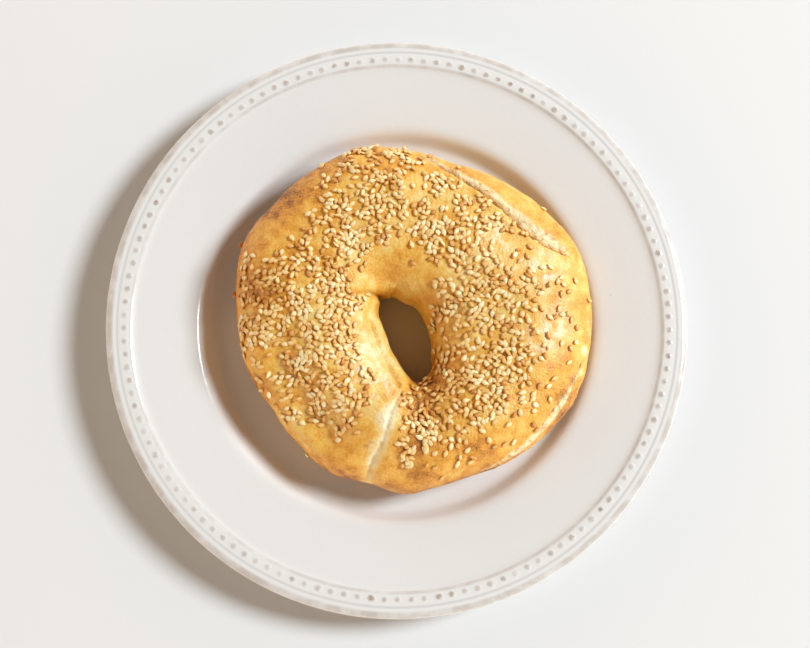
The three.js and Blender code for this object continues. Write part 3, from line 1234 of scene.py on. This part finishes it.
@dataclass
class SesameSeeds:
    """All the seeds baked on to the crust.

    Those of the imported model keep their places, except those that would lie on bare crust.
    """

    crust: BVHTree
    grid: CrustGrid
    count: int = 1520
    length: float = 0.0030
    width: float = 0.0019
    thickness: float = 0.00095
    spacing: float = 0.00134
    tries: int = 60000
    drift: float = 0.0002
    least_density: float = 0.25
    tipped_share: float = 0.22
    seed: int = 21
    dense: Spots = (
        (-49, 8.5, 9, 1.0), (-29.5, 4.5, 14, 1.0), (-26.5, -9.5, 14, 1.0),
        (-24.5, -21.5, 13, 0.75), (-23, -36.5, 10, 0.45), (-51, -8, 7, 0.7),
        (-8.5, 54.5, 10, 1.0), (3.5, 40.5, 14, 0.7), (-17.5, 35, 13, 0.65),
        (-25.5, 28, 12, 0.7), (19.5, 9, 11, 0.9), (28.5, -5.5, 14, 0.6),
        (16, -22, 8, 1.1), (20.5, -29.5, 11, 1.0), (31.5, -23.5, 14, 0.6),
        (9.5, -41.5, 8, 0.9), (3.5, -49.5, 4, 0.5), (43, 12, 13, 0.3),
        (48.5, -6.5, 11, 0.2), (36, 30.5, 11, 0.3), (20.5, 26, 14, 0.75),
        (-37, -26.5, 9, 0.4), (25, 40.5, 9, 0.5), (8.5, -32, 6, 0.8),
        (-17, -22, 7, 0.5),
    )
    bare: Spots = (
        (0.5, 12.5, 9, 1.6), (-7.5, -10.5, 6, 1.6), (-4.5, -36.5, 4.5, 2.5),
        (-8.5, -48, 4.5, 2.5), (-42, 39, 11, 0.8), (-29, -45.5, 8, 0.5),
        (-2.5, -23, 5, 1.4), (-14.5, -2, 4, 0.9), (-43, -12.5, 7, 0.4),
        (10.5, 5.5, 4, 0.5), (31, 52, 6, 1.0), (42, 45.5, 6, 1.0),
        (52, 36, 6, 1.0), (60, 25, 6, 0.8),
    )
    toasted: Spots = (
        (-49, 8.5, 8, 0.30), (-8.5, 55, 8, 0.16), (16, -22, 7, 0.2),
        (20, -30, 7, 0.12), (-24, -50, 9, 0.2), (-36, 30, 12, 0.12),
        (8, -33, 7, 0.22),
    )
    strays: Route = ((150, 1), (166, 1), (230, 1), (43.5, 20), (253, 67))

    def model_one(self) -> tuple[np.ndarray, list[tuple[int, ...]], np.ndarray]:
        """Models one seed: a flat drop with a round end and a pointed one.

        Returns:
            Its points, its faces, and how near each point is to its rim.
        """
        deselect_all()
        bpy.ops.mesh.primitive_uv_sphere_add(segments=8, ring_count=6, radius=0.5)
        drop = bpy.context.object
        drop.data.transform(Matrix.Diagonal((self.length, self.width, self.thickness, 1)))
        deselect_elements()
        for share, narrow, flat in ((0.0, 0.96, 1.0), (0.15, 0.88, 0.95), (0.4, 0.72, 0.8)):
            for vertex in drop.data.vertices:
                vertex.select = vertex.co.x > share * self.length
            bpy.ops.object.mode_set(mode="EDIT")
            bpy.ops.transform.resize(value=(1, narrow, flat), center_override=(0, 0, 0))
            bpy.ops.object.mode_set(mode="OBJECT")
        points = np.array([v.co[:] for v in drop.data.vertices])
        faces = [tuple(p.vertices) for p in drop.data.polygons]
        # Nearness to the rim, used to paint shade round each seed.
        rim = np.hypot(points[:, 0] / self.length, points[:, 1] / self.width) * 2
        bpy.data.objects.remove(drop)
        return points, faces, np.clip(rim, 0, 1) ** 3

    def density(self) -> np.ndarray:
        """Works out how thickly the seeds lie.

        Returns:
            A share for each point of the crust, from 0 to 1.
        """
        plan = self.grid.plan_mm()
        thick = patched(plan, self.dense) - patched(plan, self.bare)
        facing = eased(self.grid.normals()[..., 2], 0.25, 0.6)
        clumps = 0.1 + 0.9 * eased(noise_at(self.grid.places, 0.0055, 2, 8.0), -0.25, 0.35)
        open_crust = 1 - np.clip(self.grid.crumb * 2, 0, 1)
        return np.clip(thick, 0.0, 1.0) * facing * clumps * open_crust

    def scatter(self, chance: np.random.Generator, taken: list[np.ndarray]) -> list[np.ndarray]:
        """Picks places on the crust, thickest where the density is high.

        Args:
            chance: The source of random numbers.
            taken: Places that already hold a seed.

        Returns:
            All the places, the taken ones first.
        """
        places = self.grid.places
        side_a = np.linalg.norm(np.roll(places, -1, 0) - places, axis=2)
        side_b = np.linalg.norm(np.roll(places, -1, 1) - places, axis=2)
        weight = (self.density() * side_a * side_b).reshape(-1)
        order = chance.choice(len(weight), size=self.tries, p=weight / weight.sum(), replace=True)
        flat = places.reshape(-1, 3)
        found = list(taken)
        cells: dict[tuple[int, int, int], list[np.ndarray]] = {}
        for place in found:
            cells.setdefault(tuple(np.floor(place / self.spacing).astype(int)), []).append(place)
        for index in order:
            place = flat[index] + chance.normal(0, self.drift, 3)
            cell = np.floor(place / self.spacing).astype(int)
            near = (
                other
                for shift in np.ndindex(3, 3, 3)
                for other in cells.get(tuple(cell + np.array(shift) - 1), ())
            )
            if all(np.linalg.norm(place - other) > self.spacing for other in near):
                found.append(place)
                cells.setdefault(tuple(cell), []).append(place)
            if len(found) >= self.count:
                break
        return found

    def lay(self, chance: np.random.Generator, place: np.ndarray) -> Matrix:
        """Lays one seed on the crust, turned and tipped by chance.

        Args:
            chance: The source of random numbers.
            place: Near where it lies.

        Returns:
            Where the seed goes, and how it is turned and sized.
        """
        touch, normal, _, _ = self.crust.find_nearest(Vector(place))
        tipped = chance.random() < self.tipped_share
        tilt = chance.normal(0, 0.35 if tipped else 0.13)
        roll = chance.normal(0, 0.5 if tipped else 0.12)
        turned = normal.to_track_quat("Z", "Y").to_matrix().to_4x4()
        turned = turned @ Matrix.Rotation(chance.uniform(0, 2 * math.pi), 4, "Z")
        turned = turned @ Matrix.Rotation(tilt, 4, "Y") @ Matrix.Rotation(roll, 4, "X")
        size = Matrix.Diagonal((*(chance.normal(1, 0.07, 3)), 1))
        lift = self.thickness * (0.42 + 0.35 * abs(tilt) + 0.4 * abs(roll))
        return Matrix.Translation(touch + normal * lift) @ turned @ size

    def stray_places(self) -> list[np.ndarray]:
        """Finds the few seeds that stick out from the bagel's side.

        Returns:
            Their places.
        """
        found = []
        for turn, angle in self.strays:
            i = int(turn / 360 * len(self.grid.ring_angle)) % len(self.grid.ring_angle)
            j = int(np.argmin(np.abs(self.grid.section_angle - angle)))
            found.append(self.grid.places[i, j])
        return found

    def build(self, packed: list[str]) -> bpy.types.Object:
        """Models all the seeds as one mesh.

        Args:
            packed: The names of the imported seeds.

        Returns:
            The piece that holds every seed.
        """
        chance = np.random.default_rng(self.seed)
        taken = [np.mean(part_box(name), axis=0) for name in packed]
        sparse = patched(np.array(taken)[:, :2] / MM, self.dense) < self.least_density
        taken = [place for place, out in zip(taken, sparse) if not out]
        places = self.scatter(chance, taken + self.stray_places())
        plan = np.array(places)[:, :2] / MM
        points, faces, rim = self.model_one()
        points = np.hstack([points, np.ones((len(points), 1))])
        laid = [points @ np.array(self.lay(chance, place)).T for place in places]
        toast = chance.beta(2.2, 3.4, len(places)) + patched(plan, self.toasted)
        toast = np.clip(toast + noise_at(np.array(places), 0.007, 2, 4.0) * 0.2, 0.02, 0.95)
        step = len(points)
        shifted = [
            tuple(corner + step * number for corner in face)
            for number in range(len(places))
            for face in faces
        ]
        mesh = bpy.data.meshes.new("sesame_seeds")
        mesh.from_pydata(np.vstack(laid)[:, :3].tolist(), [], shifted)
        mark_points(mesh, "toast", np.repeat(toast, step))
        mark_points(mesh, "rim", np.tile(rim, len(places)))
        mesh.shade_smooth()
        seeds = bpy.data.objects.new("sesame_seeds", mesh)
        bpy.context.collection.objects.link(seeds)
        mesh.materials.append(SeedHull().material())
        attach(seeds, BODY)
        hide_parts(*packed)
        return seeds


# ---------------------------------------------------------------- stage


@dataclass
class Studio:
    """The table, the soft key light and its warm fill, and the camera over the plate."""

    camera_mm: tuple[float, float, float] = (-9.8, -69.0, 516.0)
    camera_tilt: tuple[float, float, float] = (7.82, -1.42, 0.0)
    lens_mm: float = 60.0
    key_azimuth: float = 14.5
    key_elevation: float = 43.0
    key_distance: float = 4.0
    key_size: float = 1.2
    key_power: float = 173.0
    key_colour: Colour = (0.86, 0.945, 1.0)
    fill_colour: Colour = (1.0, 0.805, 0.63)
    fill_strength: float = 2.65
    fill_lean: float = -0.25

    def set_camera(self) -> None:
        """Hangs the camera over the near edge of the plate, with +Y up in its view."""
        data = bpy.data.cameras.new("overhead")
        data.sensor_width = 36.0
        data.lens = self.lens_mm
        data.clip_start = 0.01
        camera = bpy.data.objects.new("overhead", data)
        camera.location = Vector(self.camera_mm) * MM
        camera.rotation_euler = [math.radians(angle) for angle in self.camera_tilt]
        bpy.context.collection.objects.link(camera)
        bpy.context.scene.camera = camera

    def set_lights(self) -> None:
        """Lights the plate from the right with a soft disc, and fills with warm light."""
        data = bpy.data.lights.new("key", "AREA")
        data.shape = "DISK"
        data.size = self.key_size
        data.energy = self.key_power
        data.color = self.key_colour
        key = bpy.data.objects.new("key", data)
        azimuth, elevation = map(math.radians, (self.key_azimuth, self.key_elevation))
        level = Vector((math.cos(azimuth), math.sin(azimuth), 0))
        way = level * math.cos(elevation) + Vector((0, 0, math.sin(elevation)))
        key.location = way * self.key_distance
        key.rotation_euler = way.to_track_quat("Z", "Y").to_euler()
        bpy.context.collection.objects.link(key)
        self.set_fill(level)

    def set_fill(self, level: Vector) -> None:
        """Fills with warm light from low down, a little more from the side away from the key.

        Args:
            level: The level direction towards the key.
        """
        world = bpy.data.worlds.new("warm_fill")
        world.use_nodes = True
        nodes = Nodes(world.node_tree)
        way = nodes.add("TexCoord").outputs["Generated"]
        lowness = nodes.minus(1.0, nodes.maths("MAXIMUM", nodes.along(way, Vector((0, 0, 1))), 0.0))
        facing = nodes.along(way, level * self.fill_lean)
        lean = nodes.scaled(facing, self.fill_strength, self.fill_strength)
        sky = world.node_tree.nodes["Background"]
        nodes.feed(sky.inputs[0], (*self.fill_colour, 1.0))
        nodes.feed(sky.inputs[1], nodes.times(nodes.maths("POWER", lowness, 2.0), lean))
        bpy.context.scene.world = world
        bpy.context.scene.view_settings.view_transform = "Standard"

    def set_table(self) -> None:
        """Lays the pale table under the plate."""
        deselect_all()
        bpy.ops.mesh.primitive_plane_add(size=4.0, location=(0, 0, 0))
        table = bpy.context.object
        table.name = "table"
        table.data.materials.append(PaleTable().material())

    def build(self) -> None:
        """Sets up the camera, the lights and the table."""
        self.set_camera()
        self.set_lights()
        self.set_table()


# ---------------------------------------------------------------- the whole object


def main() -> None:
    """Builds the plate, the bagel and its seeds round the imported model."""
    logging.basicConfig(level=logging.INFO, format="%(name)s: %(message)s")
    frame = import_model()
    plate_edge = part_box("plate")[1]
    floor_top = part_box("bagel")[0][2] - RESTING_GAP
    Studio().build()
    plate = Plate(radius=plate_edge[0], height=plate_edge[2], floor_top=floor_top).build()
    LOG.info("plate: %d faces", len(plate.data.polygons))
    bagel, grid = Bagel(hole_centre=HOLE_CENTRE).build(frame["nodes"]["bagel"])
    LOG.info("bagel: %d faces", len(bagel.data.polygons))
    packed = sorted(name for name in frame["nodes"] if name.startswith("sesame_seed_"))
    seeds = SesameSeeds(crust=surface_of(bagel), grid=grid).build(packed)
    LOG.info("seeds: %d faces", len(seeds.data.polygons))


if __name__ == "__main__":
    main()
